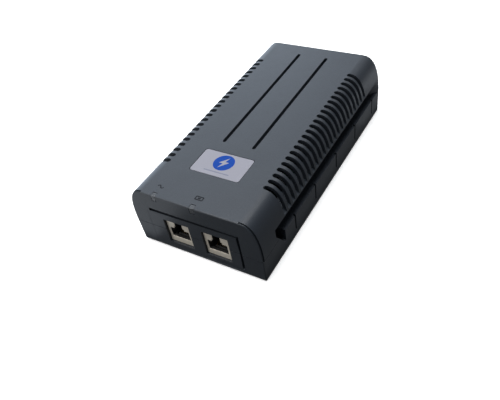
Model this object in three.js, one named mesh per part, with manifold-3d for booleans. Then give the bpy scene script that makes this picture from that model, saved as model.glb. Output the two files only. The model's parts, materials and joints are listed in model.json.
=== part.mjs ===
// A desktop power-over-Ethernet injector: an arched two-part casing around a mains power supply,
// with two shielded data jacks in front and a mains inlet behind.
// Millimetres, +Z up, jacks towards -Y, origin on the resting plane under the middle of the casing.
import * as THREE from "three";
import { mergeVertices } from "three/addons/utils/BufferGeometryUtils.js";
import Module from "manifold-3d";

const wasm = await Module();
wasm.setup();

// Inside the casing group y is the distance behind the front face and z the height above the underside.
const LENGTH = 163;
const HEIGHT = 41.2;
const FOOT_PROUD = 0.6;
const BASE_HALF = 41.5;
const BULGE_HALF = 42.2;
const BULGE_Z = 17.5;
const TOP_HALF = 31.2;
const SHOULDER_FULLNESS = 2.5;
const ARC_STEPS = 9;
const WALL = 2.2;
const END_WALL = 2.4;
const END_ROUND = 0.7;
const GAP = 0.3;
const FAR = 60;

// Parting line between cover and tray
const PART_Z = 15.6;
const CHEEK_Y = 24.2;
const END_BLOCK_Y = 147.6;

// Hand-hold channel along each side, its rear end a ramp that runs out to the side face
const CHANNEL_DEPTH = 7.2;
const CHANNEL_HALF = BULGE_HALF - CHANNEL_DEPTH;
const CHANNEL_TOP = 24.8;
const RAMP = { start: 148.6, end: 160.4 };
const BAND_TOP = PART_Z + GAP;
const BAND_GROOVE = { width: 1.4, depth: 0.8, foot: 4.5, at: [36.5, 62.5, 92, 121.5, 150.5] };

// Cooling slots over the shoulders and along the top
const VENT = { count: 23, first: 28, pitch: 5, width: 3, topEnd: 32, foot: 25.2, sill: 27.1, sillX: 39.6 };
const TOP_GROOVE = { x: 9.9, width: 2.2, start: 53, end: 152.4, deep: 3.6, skin: 1.4 };
// Seam between the front face and the shoulders
const SEAM = { front: 0.3, width: 1.0, depth: 0.9 };

// Label, indicators and front recess
const LABEL = { half: 16.3, front: 25.6, back: 44.9, corner: 1.5, depth: 0.7, thick: 0.35 };
const RATING = { half: 28, front: 50, back: 112, corner: 2, depth: 0.6, thick: 0.3 };
const PIPES = { left_light_pipe: [-24.0, -21.4], right_light_pipe: [1.2, 4.1] };
const PIPE = { deep: 2.8, low: 37.4, stemFront: 4.6, stemBack: 7.0, stemFoot: 9.4, shelf: 38.4 };
// The panel around the jacks leans in from its left edge, most at the top
const FRONT_RECESS = { left: -31, right: 27.6, foot: 1.8, top: 27.9, depth: 0.06, lean: 0.3, tilt: 0.4 };
// Shadow gap along the top and the right edge of that panel
const PANEL_GAP = { left: -29, right: 29.3, foot: 3.6, top: 30.2, high: 2.3, wide: 1.7, depth: 1.8 };

// Main board
const BOARD = { half: 31.8, front: 4.3, back: 158, low: 4.0, thick: 1.6 };
const ON_BOARD = BOARD.low + BOARD.thick + GAP;

// Screws and feet
const SCREW = { x: 27.5, front: 13, back: 151, shank: 1.25, head: 2.8, headHigh: 1.9, tip: 15 };
const POST = { radius: 4.6, top: BOARD.low - GAP, sink: 3.1, sinkDeep: 2.4 };
const BOSS = { radius: 3.2, foot: ON_BOARD, pilotTop: 16.5 };
const FOOT = { x: 30, front: 27, back: 137, radius: 5, thick: 1.6, pocket: 1.3 };

// Data jacks
const JACK = { x: 12.65, half: 8.15, front: 1.5, back: 23.2, low: ON_BOARD, top: 23.3, skin: 0.4 };
const PLUG_HOLE = { half: 6.2, low: 10.1, shoulder: 16.9, back: 16.8 };
const LATCH_STEPS = [
  { half: 3.2, top: 18.3 },
  { half: 2.4, top: 22.1 },
];
const WIRE = { count: 8, pitch: 1.016, size: 0.4, pivotY: 4.7, pivotZ: 9.7, barRadius: 0.6, barHalf: 4.2 };
const WIRE_PATH = [[4.7, 9.7], [6.4, 10.7], [12.4, 12.9], [13.2, 12.4]];
const WIRE_SLOT = { half: 4.8, low: 8.5, front: 3.6, back: 15.4 };

// Heatsinks beside the transformer
const HEATSINK = { inner: 27.4, outer: 29.4, finOut: 31.4, front: 66, back: 104, top: 34, thick: 2, finPitch: 6.3 };

// Mains inlet
const INLET = { half: 14, low: 8.4, high: 28.8, front: 141, back: 162.8, mouthHalf: 12.1, mouthLow: 10.4 };
const INLET_MOUTH = { high: 26.6, chamfer: 4.5, deep: 16.5 };
const PIN = { thick: 2, tall: 4, spread: 7, z: 16.4, earthUp: 4, tip: 158.4, back: 137.8, tail: 1.2 };

const COLOUR = {
  casing: [0x3a3f47, 0.55, 0.0],
  rubber: [0x18191b, 0.9, 0.0],
  label: [0xc3c3d2, 0.45, 0.0],
  acrylic: [0xd8dde0, 0.15, 0.0],
  steel: [0xb9b4a4, 0.35, 1.0],
  gold: [0xd9b25a, 0.3, 1.0],
  black: [0x1b1c1f, 0.5, 0.0],
  board: [0x1f5a35, 0.5, 0.0],
  sheet: [0xe6e2cf, 0.5, 0.0],
  ferrite: [0x3b3b3d, 0.7, 0.0],
  copper: [0xb8692f, 0.4, 1.0],
  yellow: [0xd8c04a, 0.5, 0.0],
  aluminium: [0xb7babd, 0.4, 1.0],
  blue: [0x2c4f8e, 0.45, 0.0],
  sleeve: [0x22252d, 0.4, 0.0],
  white: [0xe8e8e4, 0.5, 0.0],
};

// ---- solids -------------------------------------------------------------------------------

function toSolid(geometry) {
  const bare = geometry.clone();
  bare.deleteAttribute("normal");
  bare.deleteAttribute("uv");
  const merged = mergeVertices(bare, 1e-4);
  return new wasm.Manifold(
    new wasm.Mesh({
      numProp: 3,
      vertProperties: new Float32Array(merged.attributes.position.array),
      triVerts: new Uint32Array(merged.index.array),
    }),
  );
}

function block([x0, x1], [y0, y1], [z0, z1]) {
  const box = new THREE.BoxGeometry(x1 - x0, y1 - y0, z1 - z0);
  return toSolid(box.translate((x0 + x1) / 2, (y0 + y1) / 2, (z0 + z1) / 2));
}

function asShape(outline) {
  if (outline instanceof THREE.Shape) return outline;
  return new THREE.Shape(outline.map(([a, b]) => new THREE.Vector2(a, b)));
}

// An outline drawn in (a, b) is pushed along the third axis; the three directions keep it right-handed.
function prism(outline, depth, alongA, alongB, alongDepth, origin, curveSegments = 6) {
  const raw = new THREE.ExtrudeGeometry(asShape(outline), { depth, bevelEnabled: false, curveSegments });
  const place = new THREE.Matrix4().makeBasis(alongA, alongB, alongDepth).setPosition(origin);
  return toSolid(raw.applyMatrix4(place));
}

const X = new THREE.Vector3(1, 0, 0);
const Y = new THREE.Vector3(0, 1, 0);
const Z = new THREE.Vector3(0, 0, 1);
const MINUS_Y = new THREE.Vector3(0, -1, 0);

// (y, z) outline along X, (x, z) outline along Y, (x, y) outline along Z
const alongX = (outline, x0, x1, steps) =>
  prism(outline, x1 - x0, Y, Z, X, new THREE.Vector3(x0, 0, 0), steps);
const alongY = (outline, y0, y1, steps) =>
  prism(outline, y1 - y0, X, Z, MINUS_Y, new THREE.Vector3(0, y1, 0), steps);
const alongZ = (outline, z0, z1, steps) =>
  prism(outline, z1 - z0, X, Y, Z, new THREE.Vector3(0, 0, z0), steps);

function rod(axis, centre, radius, length, sides = 20) {
  const round = new THREE.CylinderGeometry(radius, radius, length, sides);
  if (axis === "x") round.rotateZ(Math.PI / 2);
  if (axis === "z") round.rotateX(Math.PI / 2);
  return toSolid(round.translate(...centre));
}

// A turned piece standing on z: the profile is a list of (radius, height) that starts and ends on the axis.
function turned(profile, [x, y], sides = 24) {
  const lathe = new THREE.LatheGeometry(profile.map(([r, z]) => new THREE.Vector2(r, z)), sides);
  return toSolid(lathe.rotateX(Math.PI / 2).translate(x, y, 0));
}

function roundedRectangle(x0, x1, y0, y1, corner) {
  const shape = new THREE.Shape();
  shape.absarc(x1 - corner, y0 + corner, corner, -Math.PI / 2, 0);
  shape.absarc(x1 - corner, y1 - corner, corner, 0, Math.PI / 2);
  shape.absarc(x0 + corner, y1 - corner, corner, Math.PI / 2, Math.PI);
  shape.absarc(x0 + corner, y0 + corner, corner, Math.PI, 1.5 * Math.PI);
  return shape;
}

const joined = (solids) => solids.reduce((sum, next) => sum.add(next));
const without = (solid, cutters) => cutters.reduce((left, cutter) => left.subtract(cutter), solid);
const bothSides = (make) => [make(-1), make(1)];
const span = (side, near, far) => (side > 0 ? [near, far] : [-far, -near]);

// ---- casing -------------------------------------------------------------------------------

// Across the casing: upright sides, then full shoulders (a superellipse quarter) up to a flat top
function archOutline(inset, foot) {
  const shoulder = TOP_HALF - 0.4 * inset;
  const arcWide = BULGE_HALF - inset - shoulder;
  const arcHigh = HEIGHT - inset - BULGE_Z;
  const power = 2 / SHOULDER_FULLNESS;
  const right = [[BASE_HALF - inset, foot]];
  for (let step = 0; step <= ARC_STEPS; step += 1) {
    const turn = (step / ARC_STEPS) * (Math.PI / 2);
    const across = Math.max(Math.cos(turn), 0) ** power;
    right.push([shoulder + arcWide * across, BULGE_Z + arcHigh * Math.sin(turn) ** power]);
  }
  const left = right.map(([x, z]) => [-x, z]).reverse();
  return asShape([...right, ...left]);
}

// Side outline of the hand-hold channel; the grown one leaves a wall behind it.
const CHANNEL = [
  [15.4, CHANNEL_TOP],
  [15, 20],
  [23.5, 7.8],
  [24.5, 8.1],
  [24.5, BAND_TOP],
  [LENGTH, BAND_TOP],
  [LENGTH, CHANNEL_TOP],
];
const CHANNEL_GROWN = [
  [15 - WALL, CHANNEL_TOP + WALL],
  [15 - WALL, 19.2],
  [22.0, 5.0],
  [24.5 + WALL, 5.0],
  [24.5 + WALL, BAND_TOP - WALL],
  [LENGTH, BAND_TOP - WALL],
  [LENGTH, CHANNEL_TOP + WALL],
];

// The channel seen from above: straight along the casing, then along the ramp and out past the side face
function channelPlan(side, wall) {
  const slope = (RAMP.end - RAMP.start) / CHANNEL_DEPTH;
  const shift = wall * Math.hypot(1, slope);
  const near = CHANNEL_HALF - wall;
  const rampY = (x) => RAMP.start + slope * (x - CHANNEL_HALF) + shift;
  const plan = [
    [near, 0],
    [FAR, 0],
    [FAR, rampY(FAR)],
    [near, rampY(near)],
  ];
  return alongZ(side > 0 ? plan : plan.map(([x, y]) => [-x, y]).reverse(), 0, HEIGHT);
}

function channelCutter(side, outline, wall) {
  const [x0, x1] = span(side, CHANNEL_HALF - wall, FAR);
  return alongX(outline, x0, x1).intersect(channelPlan(side, wall));
}

// A block in front of the panel around the jacks, its back face leaning with the panel
function frontRecess() {
  const { left, right, foot, top, depth, lean, tilt } = FRONT_RECESS;
  const wide = right - left;
  const high = top - foot;
  const box = new THREE.BoxGeometry(wide, 2, high).translate((left + right) / 2, 0, (foot + top) / 2);
  const points = box.attributes.position;
  for (let index = 0; index < points.count; index += 1) {
    if (points.getY(index) < 0) continue;
    const across = (points.getX(index) - left) / wide;
    const up = (points.getZ(index) - foot) / high;
    points.setY(index, depth + across * (lean + tilt * up));
  }
  return toSolid(box);
}

function panelGap() {
  const { left, right, foot, top, high, wide, depth } = PANEL_GAP;
  return block([left, right], [-1, depth], [top - high, top]).add(
    block([right - wide, right], [-1, depth], [foot, top]),
  );
}

// The arch with softly rounded front and rear edges
function roundedArch() {
  const raw = new THREE.ExtrudeGeometry(archOutline(0, 0), {
    depth: LENGTH - 2 * END_ROUND,
    bevelThickness: END_ROUND,
    bevelSize: END_ROUND,
    bevelOffset: -END_ROUND,
    bevelSegments: 4,
  });
  const place = new THREE.Matrix4().makeBasis(X, Z, MINUS_Y);
  place.setPosition(0, LENGTH - END_ROUND, 0);
  return toSolid(raw.applyMatrix4(place));
}

function casingShell() {
  const outer = roundedArch();
  const cavity = without(
    alongY(archOutline(WALL, WALL), END_WALL, LENGTH - END_WALL),
    [
      ...bothSides((side) => channelCutter(side, CHANNEL_GROWN, WALL)),
      block([FRONT_RECESS.left - WALL, PANEL_GAP.right + WALL], [0, 4], [0, PANEL_GAP.top + WALL]),
    ],
  );
  return without(outer, [
    cavity,
    ...bothSides((side) => channelCutter(side, CHANNEL, 0)),
    frontRecess(),
    panelGap(),
    ...[-JACK.x, JACK.x].map((x) =>
      block([x - JACK.half - GAP, x + JACK.half + GAP], [-1, 5], [JACK.low - GAP, JACK.top + GAP]),
    ),
    block(
      [-INLET.half - GAP, INLET.half + GAP],
      [LENGTH - 5, LENGTH + 1],
      [INLET.low - GAP, INLET.high + GAP],
    ),
  ]);
}

// The half of the casing that belongs to the cover, as a side outline
const COVER_REGION = [
  [-1, PART_Z + GAP],
  [CHEEK_Y, PART_Z + GAP],
  [CHEEK_Y, CHANNEL_TOP],
  [END_BLOCK_Y, CHANNEL_TOP],
  [END_BLOCK_Y, PART_Z + GAP],
  [LENGTH + 1, PART_Z + GAP],
  [LENGTH + 1, HEIGHT + 1],
  [-1, HEIGHT + 1],
];
const TRAY_REGION = [
  [-1, -1],
  [LENGTH + 1, -1],
  [LENGTH + 1, PART_Z],
  [END_BLOCK_Y - GAP, PART_Z],
  [END_BLOCK_Y - GAP, CHANNEL_TOP - GAP],
  [CHEEK_Y + GAP, CHANNEL_TOP - GAP],
  [CHEEK_Y + GAP, PART_Z],
  [-1, PART_Z],
];

// One cooling slot: round at its upper end, its lower end sloping outwards and down to the channel
function ventCutter(side, index) {
  const y = VENT.first + index * VENT.pitch;
  const half = VENT.width / 2;
  const outline = [
    [VENT.topEnd, VENT.sill],
    [VENT.sillX, VENT.sill],
    [BULGE_HALF, VENT.foot],
    [FAR, VENT.foot],
    [FAR, FAR],
    [VENT.topEnd, FAR],
  ];
  const mirrored = outline.map(([x, z]) => [-x, z]).reverse();
  const slot = alongY(side > 0 ? outline : mirrored, y - half, y + half);
  return slot.add(rod("z", [side * VENT.topEnd, y, HEIGHT], half, 12, 8));
}

// A long blind groove in the roof, and the rib under the roof that it is sunk in
function topGroove(side, grow, low, high) {
  const half = TOP_GROOVE.width / 2 + grow;
  const x = side * TOP_GROOVE.x;
  const { start, end } = TOP_GROOVE;
  const outline = roundedRectangle(x - half, x + half, start - grow, end + grow, half * 0.99);
  return alongZ(outline, low, high, 3);
}

function grooveCutter(side) {
  return topGroove(side, 0, HEIGHT - TOP_GROOVE.deep, HEIGHT + 1);
}

function grooveRib(side) {
  const { deep, skin } = TOP_GROOVE;
  return topGroove(side, skin, HEIGHT - deep - skin, HEIGHT - WALL / 2);
}

// A thin ring cut into the shoulders just behind the front face
function seamCutter(side) {
  const { front, width, depth } = SEAM;
  const ring = alongY(archOutline(-1, PART_Z + GAP), front, front + width).subtract(
    alongY(archOutline(depth, 0), front - 1, front + width + 1),
  );
  const [x0, x1] = span(side, TOP_HALF, FAR);
  return ring.intersect(block([x0, x1], [0, 2 * front + width], [PART_Z, FAR]));
}

const screwPlaces = [
  ["front_left_screw", -SCREW.x, SCREW.front],
  ["front_right_screw", SCREW.x, SCREW.front],
  ["rear_left_screw", -SCREW.x, SCREW.back],
  ["rear_right_screw", SCREW.x, SCREW.back],
];
const footPlaces = [
  ["front_left_foot", -FOOT.x, FOOT.front],
  ["front_right_foot", FOOT.x, FOOT.front],
  ["rear_left_foot", -FOOT.x, FOOT.back],
  ["rear_right_foot", FOOT.x, FOOT.back],
];

function upright(x, y, radius, z0, z1, sides = 20) {
  return rod("z", [x, y, (z0 + z1) / 2], radius, z1 - z0, sides);
}

function topCover(shell) {
  const labelPocket = roundedRectangle(
    -LABEL.half,
    LABEL.half,
    LABEL.front,
    LABEL.back,
    LABEL.corner,
  );
  const bosses = screwPlaces.map(([, x, y]) =>
    upright(x, y, BOSS.radius, BOSS.foot, HEIGHT - WALL / 2).subtract(
      upright(x, y, SCREW.shank + GAP, BOSS.foot - 1, BOSS.pilotTop, 12),
    ),
  );
  const vents = Array.from({ length: VENT.count }, (_, index) => index);
  const upper = shell.intersect(alongX(COVER_REGION, -FAR, FAR));
  return without(joined([upper, ...bosses, ...bothSides(grooveRib)]), [
    ...bothSides((side) => joined(vents.map((index) => ventCutter(side, index)))),
    ...bothSides(grooveCutter),
    ...bothSides(seamCutter),
    alongZ(labelPocket, HEIGHT - LABEL.depth, HEIGHT + 1),
    ...Object.values(PIPES).map(([x0, x1]) =>
      block([x0 - 0.15, x1 + 0.15], [-1, PIPE.deep + GAP], [PIPE.low - GAP, HEIGHT + 1]),
    ),
  ]);
}

function bottomTray(shell) {
  const posts = screwPlaces.map(([, x, y]) => upright(x, y, POST.radius, WALL / 2, POST.top));
  const grooves = bothSides((side) => {
    const [x0, x1] = span(side, BASE_HALF - BAND_GROOVE.depth, FAR);
    const half = BAND_GROOVE.width / 2;
    return joined(
      BAND_GROOVE.at.map((y) => block([x0, x1], [y - half, y + half], [BAND_GROOVE.foot, BAND_TOP + 1])),
    );
  });
  const ratingPocket = roundedRectangle(
    -RATING.half,
    RATING.half,
    RATING.front,
    RATING.back,
    RATING.corner,
  );
  return without(shell.intersect(alongX(TRAY_REGION, -FAR, FAR)).add(joined(posts)), [
    ...grooves,
    ...screwPlaces.map(([, x, y]) => upright(x, y, POST.sink, -1, POST.sinkDeep)),
    ...screwPlaces.map(([, x, y]) => upright(x, y, SCREW.shank + GAP, 0, POST.top + 1, 12)),
    ...footPlaces.map(([, x, y]) => upright(x, y, FOOT.radius + GAP, -1, FOOT.pocket)),
    alongZ(ratingPocket, -1, RATING.depth),
  ]);
}

function labelPlate() {
  const { half, front, back, corner } = LABEL;
  const outline = roundedRectangle(-half + GAP, half - GAP, front + GAP, back - GAP, corner);
  const top = HEIGHT - 0.05;
  return alongZ(outline, top - LABEL.thick, top);
}

function ratingPlate() {
  const { half, front, back, corner, depth, thick } = RATING;
  const outline = roundedRectangle(-half + GAP, half - GAP, front + GAP, back - GAP, corner);
  return alongZ(outline, depth - thick - 0.25, depth - 0.25);
}

function lightPipe(x0, x1) {
  const { deep, low, stemFront, stemBack, stemFoot, shelf } = PIPE;
  const outline = [
    [0.05, low],
    [deep, low],
    [stemFront, low - (stemFront - deep)],
    [stemFront, stemFoot],
    [stemBack, stemFoot],
    [stemBack, shelf],
    [deep, shelf],
    [deep, HEIGHT - 0.05],
    [0.05, HEIGHT - 0.05],
  ];
  return alongX(outline, x0, x1);
}

function screw(x, y) {
  const headTop = POST.sinkDeep - GAP;
  const { shank, head, headHigh, tip } = SCREW;
  const driveHole = upright(x, y, 1.1, -1, headTop - headHigh + 1, 6);
  return turned(
    [
      [0, headTop - headHigh],
      [head - 0.5, headTop - headHigh],
      [head, headTop - headHigh + 0.6],
      [head, headTop],
      [shank, headTop],
      [shank, tip - 1.2],
      [0, tip],
    ],
    [x, y],
    16,
  ).subtract(driveHole);
}

function foot(x, y) {
  const top = FOOT.pocket - GAP;
  return turned(
    [
      [0, -FOOT_PROUD],
      [FOOT.radius - 0.5, -FOOT_PROUD],
      [FOOT.radius, -FOOT_PROUD + 0.5],
      [FOOT.radius, top],
      [0, top],
    ],
    [x, y],
  );
}

// ---- data jacks ---------------------------------------------------------------------------

// The keyed plug opening, seen from the front: wide at the contacts, stepping in to the latch slot.
function plugOutline(x, grow) {
  const right = [[PLUG_HOLE.half + grow, PLUG_HOLE.low - grow]];
  let shoulder = PLUG_HOLE.shoulder;
  let half = PLUG_HOLE.half;
  for (const step of LATCH_STEPS) {
    right.push([half + grow, shoulder + grow], [step.half + grow, shoulder + grow]);
    shoulder = step.top;
    half = step.half;
  }
  right.push([half + grow, shoulder + grow]);
  const left = right.map(([dx, z]) => [-dx, z]).reverse();
  return [...right, ...left].map(([dx, z]) => [x + dx, z]);
}

function jackShield(x) {
  const { half, front, back, low, top, skin } = JACK;
  const can = block([x - half, x + half], [front, back], [low, top]);
  const inside = block(
    [x - half + skin, x + half - skin],
    [front + skin, back + 1],
    [low + skin, top - skin],
  );
  return without(can, [inside, alongY(plugOutline(x, 0.15), front - 1, front + 1)]);
}

function jackBody(x) {
  const { half, front, back, low, top, skin } = JACK;
  const inner = skin + GAP;
  const mould = block(
    [x - half + inner, x + half - inner],
    [front + inner, back - 0.4],
    [low + inner, top - inner],
  );
  const slot = block(
    [x - WIRE_SLOT.half, x + WIRE_SLOT.half],
    [WIRE_SLOT.front, WIRE_SLOT.back],
    [WIRE_SLOT.low, PLUG_HOLE.low + 1],
  );
  return without(mould, [alongY(plugOutline(x, 0), front - 1, PLUG_HOLE.back), slot]);
}

// Eight bent spring wires on the bar that they flex about
function jackContacts(x) {
  const bar = rod("x", [x, WIRE.pivotY, WIRE.pivotZ], WIRE.barRadius, 2 * WIRE.barHalf, 8);
  const lower = WIRE_PATH.map(([y, z]) => [y, z - WIRE.size / 2]);
  const upper = WIRE_PATH.map(([y, z]) => [y, z + WIRE.size / 2]).reverse();
  const wires = Array.from({ length: WIRE.count }, (_, index) => {
    const middle = x + (index - (WIRE.count - 1) / 2) * WIRE.pitch;
    return alongX([...lower, ...upper], middle - WIRE.size / 2, middle + WIRE.size / 2);
  });
  return joined([bar, ...wires]);
}

// ---- mains inlet --------------------------------------------------------------------------

function inletHousing() {
  const { half, low, high, front, back, mouthHalf, mouthLow } = INLET;
  const top = INLET_MOUTH.high;
  const cut = INLET_MOUTH.chamfer;
  const mouth = [
    [-mouthHalf, mouthLow],
    [mouthHalf, mouthLow],
    [mouthHalf, top - cut],
    [mouthHalf - cut, top],
    [-mouthHalf + cut, top],
    [-mouthHalf, top - cut],
  ];
  const pinHoles = pinPlaces.map(([, x, z]) =>
    block(
      [x - PIN.thick / 2 - GAP, x + PIN.thick / 2 + GAP],
      [front - 1, back - INLET_MOUTH.deep + 1],
      [z - PIN.tall / 2 - GAP, z + PIN.tall / 2 + GAP],
    ),
  );
  return without(block([-half, half], [front, back], [low, high]), [
    alongY(mouth, back - INLET_MOUTH.deep, back + 1),
    ...pinHoles,
  ]);
}

const pinPlaces = [
  ["line_pin", -PIN.spread, PIN.z],
  ["neutral_pin", PIN.spread, PIN.z],
  ["earth_pin", 0, PIN.z + PIN.earthUp],
];

function inletPin(x, z) {
  const outline = [
    [PIN.back, ON_BOARD],
    [PIN.back + PIN.tail, ON_BOARD],
    [PIN.back + PIN.tail, z - PIN.tall / 2],
    [PIN.tip - 1, z - PIN.tall / 2],
    [PIN.tip, z - PIN.tall / 2 + 1],
    [PIN.tip, z + PIN.tall / 2 - 1],
    [PIN.tip - 1, z + PIN.tall / 2],
    [PIN.back, z + PIN.tall / 2],
  ];
  return alongX(outline, x - PIN.thick / 2, x + PIN.thick / 2);
}

// ---- board and what stands on it ----------------------------------------------------------

function mainBoard() {
  const { half, front, back, low, thick } = BOARD;
  const notches = bothSides((side) =>
    alongZ(roundedRectangle(...span(side, half - 2.5, half + 2), 74, 80, 1), low - 1, low + thick + 1, 3),
  );
  const isolationSlot = roundedRectangle(-14, 14, 68.5, 70.5, 0.99);
  return without(alongZ(roundedRectangle(-half, half, front, back, 1.5), low, low + thick, 3), [
    ...notches,
    alongZ(isolationSlot, low - 1, low + thick + 1, 3),
    ...screwPlaces.map(([, x, y]) => upright(x, y, SCREW.shank + GAP + 0.2, low - 1, low + thick + 1, 12)),
  ]);
}

// A wound component: a closed ferrite frame, and a winding around its middle leg.
function woundCore(x, y, wide, high, deep, leg) {
  const yoke = leg / 2 + 1;
  const low = ON_BOARD;
  const frame = block([x - wide / 2, x + wide / 2], [y - deep / 2, y + deep / 2], [low, low + high]);
  const windows = bothSides((side) => {
    const [x0, x1] = span(side, leg / 2, wide / 2 - yoke);
    return block([x + x0, x + x1], [y - deep, y + deep], [low + yoke, low + high - yoke]);
  });
  return without(frame, windows);
}

function winding(x, y, wide, high, deep, leg) {
  const yoke = leg / 2 + 1;
  const outX = wide / 2 - yoke - GAP;
  const outY = deep / 2 + outX - leg / 2;
  const z0 = ON_BOARD + yoke + GAP;
  const z1 = ON_BOARD + high - yoke - GAP;
  const coil = alongZ(roundedRectangle(x - outX, x + outX, y - outY, y + outY, 3), z0, z1, 4);
  const legHole = block(
    [x - leg / 2 - GAP, x + leg / 2 + GAP],
    [y - deep / 2 - GAP, y + deep / 2 + GAP],
    [z0 - 1, z1 + 1],
  );
  return coil.subtract(legHole);
}

const TRANSFORMER = [0, 86, 34, 28, 14, 10];
const CHOKE = [20.5, 131, 20, 20, 8, 6];

function canCapacitor(x, y, radius, high) {
  const z = ON_BOARD;
  return turned(
    [
      [0, z],
      [radius - 0.6, z],
      [radius, z + 0.6],
      [radius, z + 2.2],
      [radius - 0.5, z + 2.8],
      [radius, z + 3.4],
      [radius, z + high - 0.6],
      [radius - 0.8, z + high],
      [0, z + high],
    ],
    [x, y],
  );
}

// A three-legged power package standing against a heatsink
function powerPackage(x, y) {
  const body = block([x - 2.2, x + 2.2], [y - 5, y + 5], [10.4, 19.8]);
  const tab = block([x - 2.2, x - 0.9], [y - 5, y + 5], [19.8, 26]);
  const eye = rod("x", [x, y, 23], 1.8, 8, 12);
  const legs = [-2.54, 0, 2.54].map((dy) =>
    block([x - 0.4, x + 0.4], [y + dy - 0.5, y + dy + 0.5], [ON_BOARD, 11]),
  );
  return joined([body, tab.subtract(eye), ...legs]);
}

// Flat in-line rectifier bridge: one cut corner, a screw eye and four legs
function bridgeRectifier(x, y) {
  const low = ON_BOARD + 2.5;
  const high = ON_BOARD + 20;
  const body = [
    [x - 11, low],
    [x + 11, low],
    [x + 11, high - 4],
    [x + 8, high],
    [x - 11, high],
  ];
  const eye = rod("y", [x, y, high - 5], 1.8, 10, 12);
  const legs = [-7.6, -2.5, 2.5, 7.6].map((dx) =>
    block([x + dx - 0.5, x + dx + 0.5], [y - 0.35, y + 0.35], [ON_BOARD, low + 1]),
  );
  return joined([alongY(body, y - 1.8, y + 1.8).subtract(eye), ...legs]);
}

// Film capacitor: a box with softened upright edges, a step at its foot and two legs
function filmCapacitor(x, y, wide, deep, high) {
  const low = ON_BOARD + 1;
  const box = alongZ(roundedRectangle(x - wide / 2, x + wide / 2, y - deep / 2, y + deep / 2, 1), low, low + high, 3);
  const footing = block(
    [x - wide / 2 + 1.5, x + wide / 2 - 1.5],
    [y - deep / 2 + 1.5, y + deep / 2 - 1.5],
    [low - 0.6, low + 1],
  );
  const legs = [-1, 1].map((side) =>
    upright(x + side * (wide / 2 - 2.5), y, 0.45, ON_BOARD, low + 1, 8),
  );
  return joined([box, footing, ...legs]);
}

// Heatsink: an upright plate with its top turned in over the power package and fins on its outer face
function heatsink(side) {
  const { inner, outer, finOut, front, back, top, thick, finPitch } = HEATSINK;
  const plate = block(span(side, inner, outer), [front, back], [ON_BOARD, top]);
  const flange = block(span(side, inner - 8, outer), [front, back], [top - thick, top]);
  const fins = [];
  for (let y = front + finPitch / 2; y < back; y += finPitch) {
    fins.push(block(span(side, outer - 0.5, finOut), [y - 0.6, y + 0.6], [ON_BOARD + 2, top - 1]));
  }
  return joined([plate, flange, ...fins]);
}

// A moulded chip with its corner rebate and two rows of short leads joined to it
function chip(x, y, wide, deep, high, leads) {
  const z = ON_BOARD;
  const body = block([x - wide / 2, x + wide / 2], [y - deep / 2, y + deep / 2], [z + 0.3, z + high]);
  const pitch = (deep - 1) / leads;
  const rows = Array.from({ length: leads }, (_, index) => {
    const at = y + (index - (leads - 1) / 2) * pitch;
    return block([x - wide / 2 - 1.2, x + wide / 2 + 1.2], [at - 0.3, at + 0.3], [z, z + 0.6]);
  });
  return joined([body, ...rows]);
}

function toroid(x, y, ring, tube) {
  const torus = new THREE.TorusGeometry(ring, tube, 10, 24);
  return toSolid(torus.translate(x, y, ON_BOARD + tube));
}

function fuse() {
  const x = -19.4;
  const middle = [x, 149.5, ON_BOARD + 3];
  const glass = rod("y", middle, 2.1, 20, 16);
  const caps = [-7.5, 7.5].map((dy) => rod("y", [x, 149.5 + dy, ON_BOARD + 3], 2.6, 5, 16));
  const clips = [-7.5, 7.5].map((dy) =>
    block([x - 0.6, x + 0.6], [149.5 + dy - 1.5, 149.5 + dy + 1.5], [ON_BOARD, ON_BOARD + 3]),
  );
  return joined([glass, ...caps, ...clips]);
}

function discOnLegs(axis, [x, y], radius, thick) {
  const z = ON_BOARD + 2 + radius;
  const disc = rod(axis, [x, y, z], radius, thick, 20);
  const along = axis === "x" ? [0, 1] : [1, 0];
  const legs = [-radius / 2, radius / 2].map((d) => {
    const lx = x + d * along[0];
    const ly = y + d * along[1];
    return block([lx - 0.35, lx + 0.35], [ly - 0.35, ly + 0.35], [ON_BOARD, z]);
  });
  return joined([disc, ...legs]);
}

// ---- assembly -----------------------------------------------------------------------------

const injector = new THREE.Group();
const casing = new THREE.Group();
casing.position.set(0, -LENGTH / 2, FOOT_PROUD);
injector.add(casing);

function place(name, solid, colour) {
  const { vertProperties, triVerts } = solid.getMesh();
  const geometry = new THREE.BufferGeometry();
  geometry.setAttribute("position", new THREE.BufferAttribute(vertProperties, 3));
  geometry.setIndex(new THREE.BufferAttribute(triVerts, 1));
  geometry.computeVertexNormals();
  const [color, roughness, metalness] = colour;
  const mesh = new THREE.Mesh(geometry, new THREE.MeshStandardMaterial({ color, roughness, metalness }));
  mesh.name = name;
  casing.add(mesh);
}

const shell = casingShell();
place("top_cover", topCover(shell), COLOUR.casing);
place("bottom_tray", bottomTray(shell), COLOUR.casing);
place("label_plate", labelPlate(), COLOUR.label);
place("rating_plate", ratingPlate(), COLOUR.label);

for (const [name, [x0, x1]] of Object.entries(PIPES)) {
  place(name, lightPipe(x0, x1), COLOUR.acrylic);
  const middle = (x0 + x1) / 2;
  const lamp = [[0, ON_BOARD], [1.3, ON_BOARD], [1.3, 8.0], [0.9, 8.7], [0, 9.0]];
  place(name.replace("light_pipe", "lamp"), turned(lamp, [middle, 5.8], 12), COLOUR.acrylic);
}
for (const [name, x, y] of screwPlaces) {
  place(name, screw(x, y), COLOUR.steel);
}
for (const [name, x, y] of footPlaces) {
  place(name, foot(x, y), COLOUR.rubber);
}

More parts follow.
